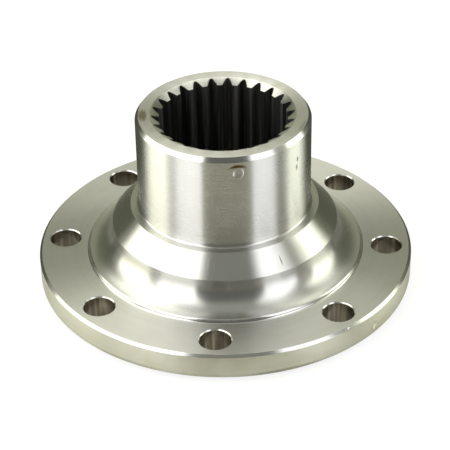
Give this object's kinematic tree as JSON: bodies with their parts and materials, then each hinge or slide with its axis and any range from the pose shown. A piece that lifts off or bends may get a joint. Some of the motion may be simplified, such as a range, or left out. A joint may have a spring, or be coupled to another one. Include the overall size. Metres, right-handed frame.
{
  "type": "driveshaft flange",
  "caption": "Companion flange: a splined hub on a round bolting flange with a ring of bolt holes and a stepped, filleted shoulder, turned from a steel forging.",
  "frame": {"origin": "centre of the flange's mating face, which the bolts pull against the mate", "axes": "+Z along the axis from the mating face to the hub's splined end, with the first bolt hole on the -Y side"},
  "size_m": [0.15, 0.15, 0.073],
  "materials": {
    "turned_steel": "bare steel, finely turned, bright, with faint round tool marks and small scuffs"
  },
  "bodies": {
    "root": {"drive_flange": "turned_steel"}
  },
  "joints": []
}
